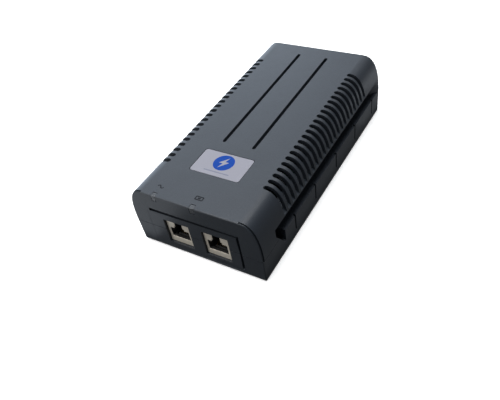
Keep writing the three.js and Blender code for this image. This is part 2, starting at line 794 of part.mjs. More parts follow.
for (const [side, x] of [["left", -JACK.x], ["right", JACK.x]]) {
  place(`${side}_jack_shield`, jackShield(x), COLOUR.steel);
  place(`${side}_jack_body`, jackBody(x), COLOUR.black);
  place(`${side}_jack_contacts`, jackContacts(x), COLOUR.gold);
  place(`${side}_line_magnetics`, chip(x, 33, 12, 15, 6, 8), COLOUR.black);
}

place("inlet_housing", inletHousing(), COLOUR.black);
for (const [name, x, z] of pinPlaces) {
  place(name, inletPin(x, z), COLOUR.steel);
}

place("main_board", mainBoard(), COLOUR.board);
place("insulation_sheet", block([-31, 31], [20, 144], [2.8, 3.2]), COLOUR.sheet);
place("transformer_core", woundCore(...TRANSFORMER), COLOUR.ferrite);
place("transformer_winding", winding(...TRANSFORMER), COLOUR.yellow);
place("choke_core", woundCore(...CHOKE), COLOUR.ferrite);
place("choke_winding", winding(...CHOKE), COLOUR.copper);
place("bulk_capacitor", canCapacitor(-17, 116.5, 10.5, 29), COLOUR.sleeve);
place("left_output_capacitor", canCapacitor(-21, 52, 6.25, 20), COLOUR.sleeve);
place("right_output_capacitor", canCapacitor(21, 52, 6.25, 20), COLOUR.sleeve);
place("output_choke", toroid(0, 58, 6.5, 3), COLOUR.copper);
place("power_controller", chip(0, 45, 7, 8, 1.6, 6), COLOUR.black);
place("output_heatsink", heatsink(-1), COLOUR.aluminium);
place("primary_heatsink", heatsink(1), COLOUR.aluminium);
place("output_diode", powerPackage(-24.8, 86), COLOUR.black);
place("switching_transistor", powerPackage(24.8, 86), COLOUR.black);
place("bridge_rectifier", bridgeRectifier(18, 113), COLOUR.black);
place("mains_filter_capacitor", filmCapacitor(-20, 134, 18, 8, 14.5), COLOUR.yellow);
place("safety_capacitor", discOnLegs("y", [2, 106], 4.5, 4), COLOUR.blue);
place("surge_varistor", discOnLegs("x", [19.4, 148], 7, 4.4), COLOUR.blue);
place("optocoupler", chip(-2, 112, 6.4, 4.6, 3.6, 2), COLOUR.black);
place("mains_fuse", fuse(), COLOUR.white);

export default injector;
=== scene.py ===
"""A desktop power-over-Ethernet injector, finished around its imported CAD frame.

Everything is in metres in the frame of the CAD model: +Z up, the data jacks facing -Y.
"""
import json
import math

import bmesh
import bpy
from mathutils import Matrix, Vector


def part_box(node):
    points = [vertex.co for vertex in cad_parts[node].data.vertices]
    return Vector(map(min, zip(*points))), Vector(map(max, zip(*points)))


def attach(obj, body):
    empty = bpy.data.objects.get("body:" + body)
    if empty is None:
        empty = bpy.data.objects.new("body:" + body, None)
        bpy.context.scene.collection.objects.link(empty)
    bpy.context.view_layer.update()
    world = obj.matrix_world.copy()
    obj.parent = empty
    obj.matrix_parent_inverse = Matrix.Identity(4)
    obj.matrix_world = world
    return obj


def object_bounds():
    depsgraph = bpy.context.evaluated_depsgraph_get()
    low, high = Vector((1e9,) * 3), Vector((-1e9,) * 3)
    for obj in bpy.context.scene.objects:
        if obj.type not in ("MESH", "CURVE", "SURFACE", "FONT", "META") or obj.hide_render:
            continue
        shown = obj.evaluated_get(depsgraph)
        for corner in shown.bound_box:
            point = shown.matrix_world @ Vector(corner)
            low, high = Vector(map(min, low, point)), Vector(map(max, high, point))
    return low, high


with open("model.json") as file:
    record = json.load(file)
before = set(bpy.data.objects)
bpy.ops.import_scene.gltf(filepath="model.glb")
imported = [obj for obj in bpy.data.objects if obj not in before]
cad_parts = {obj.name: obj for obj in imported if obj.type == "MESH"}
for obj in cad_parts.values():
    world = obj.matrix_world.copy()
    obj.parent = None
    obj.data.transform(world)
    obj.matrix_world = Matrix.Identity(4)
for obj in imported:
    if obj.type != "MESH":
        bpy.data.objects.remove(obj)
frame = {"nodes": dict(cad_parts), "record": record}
CAD_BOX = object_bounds()
NODES = frame["nodes"]
ROOT = "injector"
MM = 0.001

# ---- camera, floor and light ----------------------------------------------------------------
CAMERA_PLACE = (158.5, -229.1, 240.9)
CAMERA_AZIMUTH = 38.27
CAMERA_ELEVATION = 43.55
CAMERA_ROLL = -11.96
LENS_MM = 40.68
SENSOR_MM = 36.0

TOP_SOFTBOX = {"place": (-0.1, 0.0, 1.2), "size": (0.8, 0.8), "power": 17.0}
BACK_AZIMUTH = 38.0
BACK_DISTANCE = 0.9
BACK_CENTRE = (-0.38, 0.035)
BACK_SIZE = (1.3, 1.25)
BACK_POWER = 9.6
BACK_COLOUR = (0.71, 0.835, 1.0)
SKY_TOWARDS = (-0.75, 0.35, 0.56)
SKY_DARKEST, SKY_BRIGHTEST = 0.08, 0.58
SKY_FADE = (-0.55, 0.5)
SKY_POWER = 2.0
SKY_COLOUR = (0.93, 0.96, 1.0, 1)

# Low cards that stand in for the lit parts of the floor: centre x and y, width, depth, power
FLOOR_CARDS = {
    "front_left_card": (-0.09, -0.16, 0.11, 0.15, 0.032),
    "right_back_card": (0.172, 0.23, 0.255, 0.34, 0.065),
    "right_front_card": (0.1475, -0.07, 0.205, 0.26, 0.018),
    "rear_corner_card": (0.115, 0.17, 0.1, 0.12, 0.03),
}
CARD_COLOUR = (0.86, 0.92, 1.0)
FRONT_FILL = {
    "place": (-0.5, -0.75, 0.45),
    "size": (0.4, 0.4),
    "power": 2.0,
    "colour": (1.0, 0.97, 0.92),
}
CARD_HEIGHT = 0.001

FLOOR_RADIUS = 1.6
FLOOR_CURVE = 0.9
FLOOR_WALL = 1.4
FLOOR_RINGS = 4
FLOOR_SPOKES = 96
FLOOR_STEPS = 16


def camera_turn(azimuth, elevation, roll):
    """Rotation of a camera that looks down at the object and is rolled about its own axis."""
    a, e = math.radians(azimuth), math.radians(elevation)
    back = Vector((math.sin(a) * math.cos(e), -math.cos(a) * math.cos(e), math.sin(e)))
    level = (-back).to_track_quat("-Z", "Y")
    return level @ Matrix.Rotation(math.radians(roll), 3, "Z").to_quaternion()


def make_camera():
    data = bpy.data.cameras.new("camera")
    data.lens = LENS_MM
    data.sensor_width = SENSOR_MM
    data.clip_start = 0.01
    camera = bpy.data.objects.new("camera", data)
    camera.location = Vector(CAMERA_PLACE) * MM
    camera.rotation_mode = "QUATERNION"
    camera.rotation_quaternion = camera_turn(CAMERA_AZIMUTH, CAMERA_ELEVATION, CAMERA_ROLL)
    bpy.context.scene.collection.objects.link(camera)
    bpy.context.scene.camera = camera


def area_light(name, place, aim, size, power, colour=(1, 1, 1)):
    data = bpy.data.lights.new(name, "AREA")
    data.shape = "RECTANGLE"
    data.size, data.size_y = size
    data.energy = power
    data.color = colour
    light = bpy.data.objects.new(name, data)
    light.location = place
    light.rotation_mode = "QUATERNION"
    light.rotation_quaternion = Vector(aim).to_track_quat("-Z", "Y")
    light.visible_camera = False
    bpy.context.scene.collection.objects.link(light)


def link_value(tree, node, key, value):
    """Sets an input to a constant, or links it when the value is another node's output."""
    if isinstance(value, bpy.types.NodeSocket):
        tree.links.new(value, node.inputs[key])
    else:
        node.inputs[key].default_value = value


def add_node(tree, kind, values=None, **properties):
    node = tree.nodes.new(kind)
    for key, value in properties.items():
        setattr(node, key, value)
    for key, value in (values or {}).items():
        link_value(tree, node, key, value)
    return node


def make_sky():
    """A soft studio surround, brighter behind and to the left of the object."""
    world = bpy.data.worlds.new("studio")
    world.use_nodes = True
    tree = world.node_tree
    direction = add_node(tree, "ShaderNodeTexCoord").outputs["Generated"]
    angle = {0: direction, 1: SKY_TOWARDS}
    towards = add_node(tree, "ShaderNodeVectorMath", angle, operation="DOT_PRODUCT")
    rise = {"Value": towards.outputs["Value"], "From Min": SKY_FADE[0], "From Max": SKY_FADE[1]}
    ramp = add_node(tree, "ShaderNodeMapRange", rise)
    soft = add_node(tree, "ShaderNodeMath", {0: ramp.outputs["Result"], 1: SKY_POWER}, operation="POWER")
    spread = {"Value": soft.outputs["Value"], "To Min": SKY_DARKEST, "To Max": SKY_BRIGHTEST}
    strength = add_node(tree, "ShaderNodeMapRange", spread).outputs["Result"]
    background = tree.nodes["Background"]
    background.inputs["Color"].default_value = SKY_COLOUR
    tree.links.new(strength, background.inputs["Strength"])
    bpy.context.scene.world = world


def make_lights():
    make_sky()
    bpy.context.scene.view_settings.view_transform = "Standard"
    place = Vector(TOP_SOFTBOX["place"])
    area_light("top_softbox", place, (0, 0, -1), TOP_SOFTBOX["size"], TOP_SOFTBOX["power"])
    a = math.radians(BACK_AZIMUTH)
    outward = Vector((-math.sin(a), math.cos(a), 0))
    sideways = Vector((math.cos(a), math.sin(a), 0))
    centre = outward * BACK_DISTANCE + sideways * BACK_CENTRE[0] + Vector((0, 0, BACK_CENTRE[1]))
    area_light("back_softbox", centre, -outward, BACK_SIZE, BACK_POWER, BACK_COLOUR)
    for name, (x, y, wide, deep, power) in FLOOR_CARDS.items():
        area_light(name, (x, y, CARD_HEIGHT), (0, 0, 1), (wide, deep), power, CARD_COLOUR)
    place = Vector(FRONT_FILL["place"])
    area_light("front_fill", place, -place, FRONT_FILL["size"], FRONT_FILL["power"], FRONT_FILL["colour"])


def make_floor():
    """A pale floor that curves up into a backdrop all round, lighting nothing but itself."""
    profile = [(FLOOR_RADIUS * ring / FLOOR_RINGS, 0.0) for ring in range(1, FLOOR_RINGS + 1)]
    for step in range(1, FLOOR_STEPS + 1):
        turn = math.radians(90 * step / FLOOR_STEPS)
        out = FLOOR_RADIUS + FLOOR_CURVE * math.sin(turn)
        profile.append((out, FLOOR_CURVE * (1 - math.cos(turn))))
    profile.append((profile[-1][0], profile[-1][1] + FLOOR_WALL))
    work = bmesh.new()
    middle = work.verts.new((0, 0, 0))
    rings = []
    for out, up in profile:
        turns = [2 * math.pi * spoke / FLOOR_SPOKES for spoke in range(FLOOR_SPOKES)]
        rings.append([work.verts.new((out * math.cos(t), out * math.sin(t), up)) for t in turns])
    for spoke in range(FLOOR_SPOKES):
        after = (spoke + 1) % FLOOR_SPOKES
        work.faces.new((middle, rings[0][spoke], rings[0][after]))
        for inner, outer in zip(rings, rings[1:]):
            work.faces.new((inner[spoke], outer[spoke], outer[after], inner[after]))
    for face in work.faces:
        face.smooth = True
    mesh = bpy.data.meshes.new("floor")
    work.to_mesh(mesh)
    work.free()
    floor = bpy.data.objects.new("floor", mesh)
    floor.visible_diffuse = False
    floor.visible_glossy = False
    bpy.context.scene.collection.objects.link(floor)
    material = bpy.data.materials.new("pale_floor")
    material.use_nodes = True
    shader = material.node_tree.nodes["Principled BSDF"]
    shader.inputs["Base Color"].default_value = (0.9, 0.9, 0.9, 1)
    shader.inputs["Roughness"].default_value = 0.5
    shader.inputs["Specular IOR Level"].default_value = 0.1
    shader.inputs["Emission Color"].default_value = (1, 1, 1, 1)
    shader.inputs["Emission Strength"].default_value = 0.4
    mesh.materials.append(material)


# ---- materials ------------------------------------------------------------------------------
WAVE_TEXTURE_TURNS = 20
# How far back from the spring wires' front ends the painted shade reaches
FRONT_SHADE_MM = 1.2


class Nodes:
    """A small builder for one material's node tree."""

    def __init__(self, name):
        self.material = bpy.data.materials.new(name)
        self.material.use_nodes = True
        self.tree = self.material.node_tree
        self.shader = self.tree.nodes["Principled BSDF"]
        coordinates = self.add("ShaderNodeTexCoord")
        self.where = coordinates.outputs["Object"]
        self.within = coordinates.outputs["Generated"]

    def add(self, kind, values=None, **properties):
        return add_node(self.tree, kind, values, **properties)

    def axis(self, name, where=None):
        return self.add("ShaderNodeSeparateXYZ", {"Vector": where or self.where}).outputs[name]

    def math(self, operation, first, second=0.0):
        return self.add("ShaderNodeMath", {0: first, 1: second}, operation=operation).outputs["Value"]

    def stretched(self, along, factor=0.04):
        """Object coordinates scaled along one axis; a small factor draws a texture out along it."""
        scale = tuple(factor if axis == along else 1.0 for axis in "XYZ")
        return self.add("ShaderNodeMapping", {"Vector": self.where, "Scale": scale}).outputs["Vector"]

    def noise(self, per_mm, detail=2.0, roughness=0.5, where=None):
        values = {
            "Vector": where or self.where,
            "Scale": per_mm / MM,
            "Detail": detail,
            "Roughness": roughness,
        }
        return self.add("ShaderNodeTexNoise", values).outputs["Fac"]

    def bands(self, along, period_mm, distort=0.0):
        """Rounded ridges across one axis, each as wide as the period."""
        scale = 2 * math.pi / (WAVE_TEXTURE_TURNS * period_mm * MM)
        values = {"Vector": self.where, "Scale": scale, "Distortion": distort}
        return self.add("ShaderNodeTexWave", values, bands_direction=along).outputs["Fac"]

    def spread(self, factor, low, high, from_low=0.0, from_high=1.0):
        values = {
            "Value": factor,
            "From Min": from_low,
            "From Max": from_high,
            "To Min": low,
            "To Max": high,
        }
        return self.add("ShaderNodeMapRange", values).outputs["Result"]

    def mix(self, factor, first, second):
        blend = self.add("ShaderNodeMix", {0: factor, 6: first, 7: second}, data_type="RGBA")
        return blend.outputs[2]

    def bump(self, height, depth_mm, normal=None):
        values = {"Height": height, "Strength": 1.0, "Distance": depth_mm * MM}
        if normal:
            values["Normal"] = normal
        return self.add("ShaderNodeBump", values).outputs["Normal"]

    def wire(self, socket, name):
        self.tree.links.new(socket, self.shader.inputs[name])

    def fix(self, **values):
        for key, value in values.items():
            self.shader.inputs[key.replace("_", " ")].default_value = value
        return self.material


def tint(colour, factor):
    return tuple(min(1, channel * factor) for channel in colour) + (1,)


def moulded(name, colour, rough=(0.45, 0.6), grain_per_mm=2.2, grain_mm=0.02, mottle=0.12, **fixed):
    """Moulded plastic: a spark-eroded grain, slightly uneven gloss and a faint mottle in its colour."""
    n = Nodes(name)
    mottling = n.noise(0.09, 4)
    n.wire(n.mix(mottling, tint(colour, 1 - mottle), tint(colour, 1 + mottle)), "Base Color")
    n.wire(n.spread(n.noise(0.35, 3), *rough), "Roughness")
    n.wire(n.bump(n.noise(grain_per_mm, 3, 0.6), grain_mm), "Normal")
    return n.fix(**fixed)


def casing_plastic():
    """Charcoal casing: a fine and a coarse erosion grain under a satin surface, with dusty patches."""
    n = Nodes("charcoal_casing")
    patches = n.spread(n.noise(0.05, 5, 0.6), 0.0, 1.0, 0.35, 0.68)
    specks = n.spread(n.noise(3.0, 2), 0.0, 1.0, 0.3, 0.7)
    base = n.mix(patches, (0.0155, 0.020, 0.0275, 1), (0.020, 0.0255, 0.034, 1))
    n.wire(n.mix(specks, base, (0.026, 0.0325, 0.042, 1)), "Base Color")
    n.wire(n.spread(n.noise(0.22, 4), 0.37, 0.46), "Roughness")
    coarse = n.bump(n.noise(0.9, 3, 0.55), 0.035)
    n.wire(n.bump(n.noise(3.0, 2, 0.5), 0.012, coarse), "Normal")
    return n.fix(Specular_IOR_Level=0.5)


def metal(name, colour, rough=(0.22, 0.36), along="Z", lines_per_mm=6.0, lines_mm=0.004, **fixed):
    """Drawn or plated metal: fine lines along one axis, smudged gloss and a slight change of tone."""
    n = Nodes(name)
    drawn = n.noise(lines_per_mm, 3, 0.6, n.stretched(along))
    smudge = n.noise(0.3, 4, 0.6)
    n.wire(n.mix(smudge, tint(colour, 0.86), tint(colour, 1.06)), "Base Color")
    n.wire(n.spread(smudge, *rough), "Roughness")
    n.wire(n.bump(drawn, lines_mm), "Normal")
    fixed.setdefault("Metallic", 1.0)
    return n.fix(**fixed)


def film(name, colour, rough=(0.28, 0.4), shift=0.04, **fixed):
    """A printed film: an even satin ground with a very fine dither and a slightly wavy surface."""
    n = Nodes(name)
    dither = n.noise(5.0, 1)
    cloud = n.noise(0.12, 3)
    ground = n.mix(cloud, tint(colour, 1 - shift), tint(colour, 1 + shift))
    n.wire(n.mix(n.spread(dither, 0.0, 0.35, 0.45, 0.75), ground, tint(colour, 1.18)), "Base Color")
    n.wire(n.spread(cloud, *rough), "Roughness")
    n.wire(n.bump(n.noise(0.25, 2), 0.01), "Normal")
    return n.fix(**fixed)


def clear_plastic(name, colour, through, rough=(0.08, 0.2)):
    """Moulded light guide: tinted, see-through, with flow lines and a finely scuffed face."""
    n = Nodes(name)
    flow = n.noise(0.8, 3, 0.6, n.stretched("Z", 0.2))
    n.wire(n.mix(flow, tint(colour, 0.8), tint(colour, 1.15)), "Base Color")
    n.wire(n.spread(n.noise(2.5, 3), *rough), "Roughness")
    n.wire(n.bump(flow, 0.01), "Normal")
    return n.fix(Transmission_Weight=through, IOR=1.49)


def solder_mask_board():
    """Green board: tracks under the mask, bare glass-fibre edges and a faint weave."""
    n = Nodes("green_board")
    cells = {"Vector": n.where, "Scale": 0.33 / MM, "Randomness": 0.75}
    edges = n.add("ShaderNodeTexVoronoi", cells, feature="DISTANCE_TO_EDGE", distance="EUCLIDEAN")
    track = n.spread(edges.outputs["Distance"], 1.0, 0.0, 0.07, 0.11)
    mask = n.mix(track, (0.008, 0.085, 0.032, 1), (0.02, 0.19, 0.07, 1))
    normal = n.add("ShaderNodeNewGeometry").outputs["Normal"]
    upright = n.math("ABSOLUTE", n.axis("Z", normal))
    face = n.spread(upright, 0.0, 1.0, 0.4, 0.6)
    weave = n.noise(2.0, 3, 0.6, n.stretched("Z", 6.0))
    fibre = n.mix(weave, (0.30, 0.27, 0.12, 1), (0.42, 0.38, 0.2, 1))
    n.wire(n.mix(face, fibre, mask), "Base Color")
    n.wire(n.spread(track, 0.22, 0.32), "Roughness")
    n.wire(n.bump(n.math("ADD", track, n.noise(1.6, 2)), 0.02), "Normal")
    return n.fix()


def wound(name, colour, along, period_mm, rough=(0.25, 0.4), ridge_mm=0.12, **fixed):
    """Windings or layers of tape: rounded ridges across one axis, with painted shade between them."""
    n = Nodes(name)
    ridges = n.bands(along, period_mm, 0.4)
    tone = n.mix(n.noise(0.4, 3), tint(colour, 0.82), tint(colour, 1.12))
    # Between the ridges the colour drops to a third: painted shade in the grooves.
    n.wire(n.mix(n.spread(ridges, 0.0, 1.0, 0.05, 0.5), tint(colour, 0.35), tone), "Base Color")
    n.wire(n.spread(n.noise(0.8, 2), *rough), "Roughness")
    n.wire(n.bump(ridges, ridge_mm), "Normal")
    return n.fix(**fixed)


def sleeved_can():
    """Electrolytic can: a dark shrink sleeve with its pale stripe, and a bare aluminium crown."""
    n = Nodes("sleeved_can")
    middle = {0: n.within, 1: (0.5, 0.5, 0.0)}
    offset = n.add("ShaderNodeVectorMath", middle, operation="SUBTRACT").outputs["Vector"]
    out = n.axis("X", offset)
    across = n.axis("Y", offset)
    angle = n.math("ARCTAN2", across, out)
    stripe = n.math("LESS_THAN", n.math("ABSOLUTE", angle), 0.34)
    squares = n.math("ADD", n.math("MULTIPLY", out, out), n.math("MULTIPLY", across, across))
    radius = n.math("SQRT", squares)
    up = n.axis("Z", n.within)
    crown = n.math("MULTIPLY", n.math("GREATER_THAN", up, 0.97), n.math("LESS_THAN", radius, 0.44))
    scuff = n.noise(0.5, 4, 0.6)
    sleeve = n.mix(scuff, (0.010, 0.012, 0.022, 1), (0.018, 0.022, 0.036, 1))
    banded = n.mix(stripe, sleeve, (0.30, 0.32, 0.34, 1))
    n.wire(n.mix(crown, banded, (0.72, 0.73, 0.75, 1)), "Base Color")
    n.wire(crown, "Metallic")
    n.wire(n.spread(scuff, 0.22, 0.38), "Roughness")
    n.wire(n.bump(n.noise(0.6, 2), 0.02), "Normal")
    return n.fix()


def leaded(name, colour, foot_mm=7.1, rough=(0.5, 0.66)):
    """Moulded component whose legs, below a height, are tinned metal."""
    n = Nodes(name)
    body = n.mix(n.noise(0.6, 4), tint(colour, 0.85), tint(colour, 1.2))
    legs = n.math("LESS_THAN", n.axis("Z"), foot_mm * MM)
    tin = n.mix(n.noise(1.2, 2), (0.55, 0.54, 0.5, 1), (0.7, 0.69, 0.66, 1))
    n.wire(n.mix(legs, body, tin), "Base Color")
    n.wire(legs, "Metallic")
    gloss = n.spread(n.noise(0.7, 3), *rough)
    n.wire(n.math("SUBTRACT", gloss, n.math("MULTIPLY", legs, 0.2)), "Roughness")
    n.wire(n.bump(n.noise(3.0, 3, 0.6), 0.015), "Normal")
    return n.fix()


def capped_tube():
    """Fuse: a glazed tube between two nickel end caps and the clips that hold them."""
    n = Nodes("capped_tube")
    along = n.math("ABSOLUTE", n.math("SUBTRACT", n.axis("Y", n.within), 0.5))
    low = n.math("LESS_THAN", n.axis("Z", n.within), 0.28)
    cap = n.math("MAXIMUM", n.math("GREATER_THAN", along, 0.249), low)
    glaze = n.mix(n.noise(0.5, 3), (0.66, 0.64, 0.58, 1), (0.78, 0.77, 0.72, 1))
    n.wire(n.mix(cap, glaze, (0.66, 0.64, 0.6, 1)), "Base Color")
    n.wire(cap, "Metallic")
    n.wire(n.spread(n.noise(1.0, 3), 0.16, 0.34), "Roughness")
    n.wire(n.bump(n.noise(1.5, 2), 0.012), "Normal")
    return n.fix()


def sprung_wires():
    """Gold-plated spring wires whose front ends are coloured near-black as painted shade inside the jack
    opening.
    """
    n = Nodes("sprung_wires")
    # The wires in front of this depth get near-black colour: painted shade, not a separate moulded bar.
    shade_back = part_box("left_jack_contacts")[0][1] + FRONT_SHADE_MM * MM
    wire = n.math("GREATER_THAN", n.axis("Y"), shade_back)
    tone = n.noise(0.8, 3)
    gold = n.mix(tone, (0.56, 0.37, 0.13, 1), (0.7, 0.48, 0.18, 1))
    black = n.mix(tone, (0.016, 0.016, 0.016, 1), (0.024, 0.023, 0.022, 1))
    n.wire(n.mix(wire, black, gold), "Base Color")
    n.wire(wire, "Metallic")
    n.wire(n.math("SUBTRACT", n.spread(tone, 0.48, 0.58), n.math("MULTIPLY", wire, 0.25)), "Roughness")
    n.wire(n.bump(n.noise(3.0, 2), 0.006), "Normal")
    return n.fix()


def ferrite_core():
    """Ferrite: dull grey-black and finely porous, with a few bright grains."""
    n = Nodes("ferrite_core")
    grains = n.spread(n.noise(4.5, 2), 0.0, 1.0, 0.6, 0.75)
    base = n.mix(n.noise(0.4, 3), (0.035, 0.035, 0.037, 1), (0.055, 0.055, 0.056, 1))
    n.wire(n.mix(grains, base, (0.14, 0.14, 0.145, 1)), "Base Color")
    n.wire(n.spread(grains, 0.6, 0.35), "Roughness")
    n.wire(n.bump(n.noise(3.0, 4, 0.65), 0.03), "Normal")
    return n.fix()


MATERIALS = {
    "casing": casing_plastic,
    "label": lambda: film("silver_label", (0.21, 0.21, 0.245)),
    "rating": lambda: film("rating_film", (0.42, 0.42, 0.44), (0.35, 0.5)),
    "acrylic": lambda: clear_plastic("smoky_light_guide", (0.11, 0.12, 0.135), 0.4, (0.18, 0.3)),
    "lamp": lambda: clear_plastic("lamp_lens", (0.45, 0.7, 0.5), 0.4),
    "inlet_plastic": lambda: moulded("inlet_moulding", (0.016, 0.016, 0.017), (0.28, 0.4), 1.8, 0.012),
    "tinned_brass": lambda: metal("tinned_pin", (0.72, 0.7, 0.64), along="Y"),
    "board": solder_mask_board,
    "sheet": lambda: film("barrier_sheet", (0.6, 0.56, 0.4), Transmission_Weight=0.25),
    "ferrite": ferrite_core,
    "yellow_tape": lambda: wound("yellow_tape", (0.72, 0.5, 0.06), "Z", 6.5, ridge_mm=0.05),
    "copper_wire": lambda: wound("enamelled_copper", (0.55, 0.2, 0.07), "Z", 0.8, Metallic=0.8),
    "capacitor_sleeve": sleeved_can,
    "black_moulding": lambda: leaded("black_epoxy", (0.02, 0.02, 0.021)),
    "aluminium": lambda: metal("black_anodised", (0.035, 0.035, 0.038), (0.4, 0.52), Metallic=0.5),
    "yellow_plastic": lambda: leaded("yellow_case", (0.68, 0.47, 0.05), 7.0, (0.25, 0.4)),
    "blue_coating": lambda: leaded("blue_lacquer", (0.02, 0.09, 0.36), 7.4, (0.15, 0.28)),
    "white_moulding": lambda: leaded("white_epoxy", (0.62, 0.62, 0.59), 6.9),
    "ceramic": capped_tube,
    "jack_shield": lambda: metal(
        "plated_shield", (0.85, 0.785, 0.67), (0.3, 0.46), "X", 5.0, 0.004, Metallic=0.35
    ),
    "jack_plastic": lambda: moulded("jack_moulding", (0.03, 0.029, 0.028), (0.4, 0.55), 2.6, 0.01),
    "gold_wire": sprung_wires,
    "screw_steel": lambda: metal("blackened_screw", (0.1, 0.1, 0.105), (0.35, 0.5)),
    "foot_rubber": lambda: moulded("foot_rubber", (0.014, 0.014, 0.015), (0.7, 0.85), 1.5, 0.03),
}
MADE = {}


def slot_material(slot):
    if slot not in MADE:
        MADE[slot] = MATERIALS[slot]()
    return MADE[slot]


def ink(name, colour, rough=(0.35, 0.5)):
    """Screen-printed ink: almost even, with pin-holes and a slightly raised, grainy film."""
    n = Nodes(name)
    holes = n.spread(n.noise(6.0, 2), 0.0, 1.0, 0.3, 0.42)
    n.wire(n.mix(holes, tint(colour, 0.7), tint(colour, 1.0)), "Base Color")
    n.wire(n.spread(n.noise(1.5, 2), *rough), "Roughness")
    n.wire(n.bump(n.noise(4.0, 2), 0.006), "Normal")
    return n.fix(Specular_IOR_Level=0.12)


# ---- refining the CAD nodes -----------------------------------------------------------------
SHARP_ANGLE = math.radians(50)
BEVEL_ANGLE = math.radians(35)
BEVEL_SEGMENTS = 2
FLAT_ANGLE = math.radians(0.3)
WELD_MM = 0.002


def normals_group(name, limit):
    """A modifier group that drops stored normals and keeps only the edges above the angle sharp."""
    group = bpy.data.node_groups.new(name, "GeometryNodeTree")
    group.interface.new_socket("Geometry", in_out="INPUT", socket_type="NodeSocketGeometry")
    group.interface.new_socket("Geometry", in_out="OUTPUT", socket_type="NodeSocketGeometry")
    source = group.nodes.new("NodeGroupInput")
    result = group.nodes.new("NodeGroupOutput")
    angle = group.nodes.new("GeometryNodeInputMeshEdgeAngle")
    steep = group.nodes.new("FunctionNodeCompare")
    steep.operation = "GREATER_THAN"
    steep.inputs[1].default_value = limit
    normal = group.nodes.new("GeometryNodeSetMeshNormal")
    normal.mode = "SHARPNESS"
    link = group.links.new
    link(source.outputs[0], normal.inputs["Mesh"])
    link(angle.outputs["Unsigned Angle"], steep.inputs[0])
    link(steep.outputs["Result"], normal.inputs["Edge Sharpness"])
    normal.inputs["Remove Custom"].default_value = True
    link(normal.outputs["Mesh"], result.inputs[0])
    return group


NORMALS = normals_group("edge_normals", SHARP_ANGLE)


def add_normals(obj):
    obj.modifiers.new("normals", "NODES").node_group = NORMALS


def soften(obj, width_mm):
    """Rounds a solid's sharp edges a little, and shades it as smooth faces between them."""
    weld = obj.modifiers.new("weld", "WELD")
    weld.merge_threshold = WELD_MM * MM
    add_normals(obj)
    flatten = obj.modifiers.new("flatten", "DECIMATE")
    flatten.decimate_type = "DISSOLVE"
    flatten.angle_limit = FLAT_ANGLE
    bevel = obj.modifiers.new("edges", "BEVEL")
    bevel.width = width_mm * MM
    bevel.segments = BEVEL_SEGMENTS
    bevel.limit_method = "ANGLE"
    bevel.angle_limit = BEVEL_ANGLE
    add_normals(obj)
    obj.modifiers.new("weights", "WEIGHTED_NORMAL").keep_sharp = True


EDGE_MM = 0.12
EDGES_MM = {
    "top_cover": 0.18,
    "bottom_tray": 0.2,
    "inlet_housing": 0.2,
    "label_plate": 0.06,
    "rating_plate": 0.06,
}


def finish_nodes():
    for part in frame["record"]["subparts"]:
        node = NODES[part["node"]]
        node.data.materials.clear()
        node.data.materials.append(slot_material(part["material_slot"]))
        soften(node, EDGES_MM.get(part["node"], EDGE_MM))


# ---- extra pieces ---------------------------------------------------------------------------
def add_piece(name, mesh, slot, material=None):
    mesh.materials.clear()
    mesh.materials.append(material or slot_material(slot))
    obj = bpy.data.objects.new(name, mesh)
    bpy.context.scene.collection.objects.link(obj)
    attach(obj, ROOT)
    return obj


def curve_mesh(name, splines, closed, **settings):
    """A mesh made from poly splines, filled and extruded or swept as the curve's settings say."""
    curve = bpy.data.curves.new(name, "CURVE")
    for key, value in settings.items():
        setattr(curve, key, value)
    for points in splines:
        spline = curve.splines.new("POLY")
        spline.points.add(len(points) - 1)
        for point, place in zip(spline.points, points):
            point.co = (*place, 1.0)
        spline.use_cyclic_u = closed
    holder = bpy.data.objects.new(name, curve)
    mesh = bpy.data.meshes.new_from_object(holder)
    bpy.data.objects.remove(holder)
    bpy.data.curves.remove(curve)
    return mesh


def flat_mesh(name, outlines, low, high):
    """A thin plate between two heights; an outline inside another one is a hole."""
    splines = [[(x, y, 0.0) for x, y in outline] for outline in outlines]
    settings = {"dimensions": "2D", "fill_mode": "BOTH", "extrude": (high - low) / 2}
    mesh = curve_mesh(name, splines, True, **settings)
    mesh.transform(Matrix.Translation((0, 0, (low + high) / 2)))
    return mesh


def wire_mesh(name, path, radius):
    """A round wire swept along a path, with closed ends."""
    settings = {"dimensions": "3D", "bevel_depth": radius, "bevel_resolution": 2, "use_fill_caps": True}
    return curve_mesh(name, [path], False, **settings)


CORNER_STEPS = 4
CIRCLE_STEPS = 48


def box_outline(x0, x1, y0, y1, corner=0.0):
    if not corner:
        return [(x0, y0), (x1, y0), (x1, y1), (x0, y1)]
    points = []
    left, right = x0 + corner, x1 - corner
    near, far = y0 + corner, y1 - corner
    for quarter, (cx, cy) in enumerate([(right, far), (left, far), (left, near), (right, near)]):
        for step in range(CORNER_STEPS + 1):
            turn = math.radians(90 * (quarter + step / CORNER_STEPS))
            points.append((cx + corner * math.cos(turn), cy + corner * math.sin(turn)))
    return points


def circle_outline(x, y, radius):
    turns = [2 * math.pi * step / CIRCLE_STEPS for step in range(CIRCLE_STEPS)]
    return [(x + radius * math.cos(t), y + radius * math.sin(t)) for t in turns]


def ribbon_outline(points, width):
    """A line of some width drawn through points, as a closed outline."""
    left, right = [], []
    last = len(points) - 1
    for index, point in enumerate(points):
        before = Vector(points[max(index - 1, 0)])
        after = Vector(points[min(index + 1, last)])
        along = (after - before).normalized()
        across = Vector((-along.y, along.x)) * width / 2
        left.append(tuple(Vector(point) + across))
        right.append(tuple(Vector(point) - across))
    return left + right[::-1]


